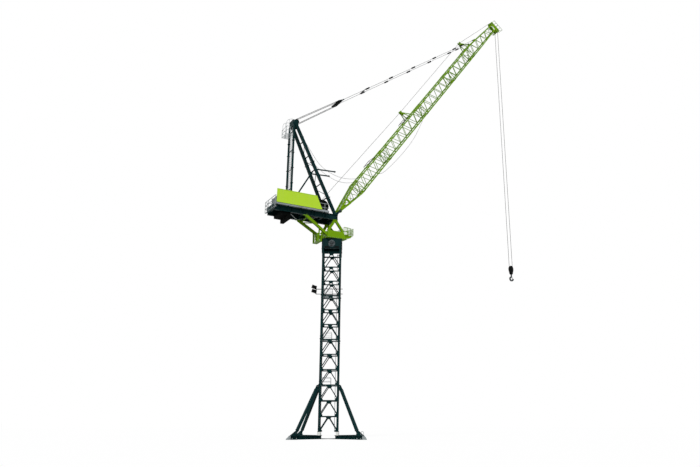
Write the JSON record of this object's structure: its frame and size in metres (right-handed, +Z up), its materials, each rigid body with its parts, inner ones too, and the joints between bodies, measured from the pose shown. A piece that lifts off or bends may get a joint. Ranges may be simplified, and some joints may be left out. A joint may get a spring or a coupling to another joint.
{
  "type": "luffing-jib tower crane, 1:2 scale model",
  "caption": "Luffing-jib tower crane on a strutted cross base: lattice mast, slewing deck with A-frame and winches, lattice jib with pendants, hoist ropes and hook block.",
  "frame": {"origin": "on the ground under the mast axis, on the underside of the base's tie plate", "axes": "+Z up along the mast; the jib lies over +X at rest; +Y is to the left of the jib"},
  "size_m": [20.6167, 5.968, 35.22],
  "materials": {
    "teal_steel": "satin",
    "green_steel": "satin",
    "lime_panel": "satin",
    "black_steel": "satin",
    "black_iron": "matte",
    "grey_galvanised": "satin",
    "bearing_steel": "satin",
    "wire_rope": "satin",
    "cable_rubber": "matte",
    "pale_shoe": "satin"
  },
  "bodies": {
    "mast": {"base_tie_plate": "teal_steel", "base_beams": "teal_steel", "base_struts": "teal_steel", "strut_brackets": "teal_steel", "mast_shoes": "pale_shoe", "mast_side_near": "teal_steel", "mast_side_far": "teal_steel", "mast_side_front": "teal_steel", "mast_side_rear": "teal_steel", "mast_ladder": "grey_galvanised", "mast_rest_platforms": "grey_galvanised", "mast_floodlights": "black_steel", "slewing_support": "teal_steel", "slewing_ring": "bearing_steel"},
    "upperworks": {"slewing_platform": "green_steel", "turret_front_legs": "green_steel", "turret_rear_props": "green_steel", "front_platform": "green_steel", "rear_landing": "green_steel", "deck_girders": "teal_steel", "deck_cross_beams": "teal_steel", "deck_floor": "black_steel", "walkways": "grey_galvanised", "deck_railings": "grey_galvanised", "rear_balcony": "grey_galvanised", "side_panel": "lime_panel", "counterweights": "black_iron", "hoist_winch": "black_steel", "luffing_winch": "black_steel", "jib_pivot_brackets": "teal_steel", "aframe_head": "teal_steel", "aframe_front_legs": "teal_steel", "aframe_front_ties": "teal_steel", "aframe_rear_frame": "teal_steel", "aframe_brace": "teal_steel", "backstops": "teal_steel", "aframe_platform": "grey_galvanised", "luffing_ropes": "wire_rope", "hoist_rope_lower": "wire_rope", "control_cables": "cable_rubber"},
    "jib": {"jib_side_right": "green_steel", "jib_side_left": "green_steel", "jib_top_lacing": "green_steel", "jib_bottom_lacing": "green_steel", "jib_head": "green_steel", "rope_posts": "green_steel", "luffing_block": "black_steel", "pendant_bars": "bearing_steel", "hoist_rope_upper": "wire_rope", "jib_slack_line": "cable_rubber"},
    "falls": {"hoist_falls": "wire_rope"},
    "hook_block": {"hook_block": "black_steel"},
    "hook": {"hook": "bearing_steel"}
  },
  "joints": [
    {"name": "slew", "type": "hinge", "parent": "mast", "child": "upperworks", "pos_m": [0, 0, 12.83], "axis": [0, 0, 1], "continuous": true},
    {"name": "luff", "type": "hinge", "parent": "upperworks", "child": "jib", "pos_m": [0.365, 0, 14.9], "axis": [0, -1, 0], "range_deg": [-33, 27], "deforming": ["luffing_ropes", "hoist_rope_lower", "control_cables"]},
    {"name": "hook_level", "type": "hinge", "parent": "jib", "child": "falls", "pos_m": [15.85666, 0, 34.59602], "axis": [0, -1, 0], "range_deg": [-27, 33]},
    {"name": "hoist", "type": "slide", "parent": "falls", "child": "hook_block", "axis": [0, 0, -1], "range_m": [-19, 11], "deforming": ["hoist_falls"]},
    {"name": "hook_swivel", "type": "hinge", "parent": "hook_block", "child": "hook", "pos_m": [15.85666, 0, 12.3095], "axis": [0, 0, 1], "continuous": true}
  ],
  "couplings": [
    {"joint": "hook_level", "follows": "luff", "ratio": -1}
  ]
}
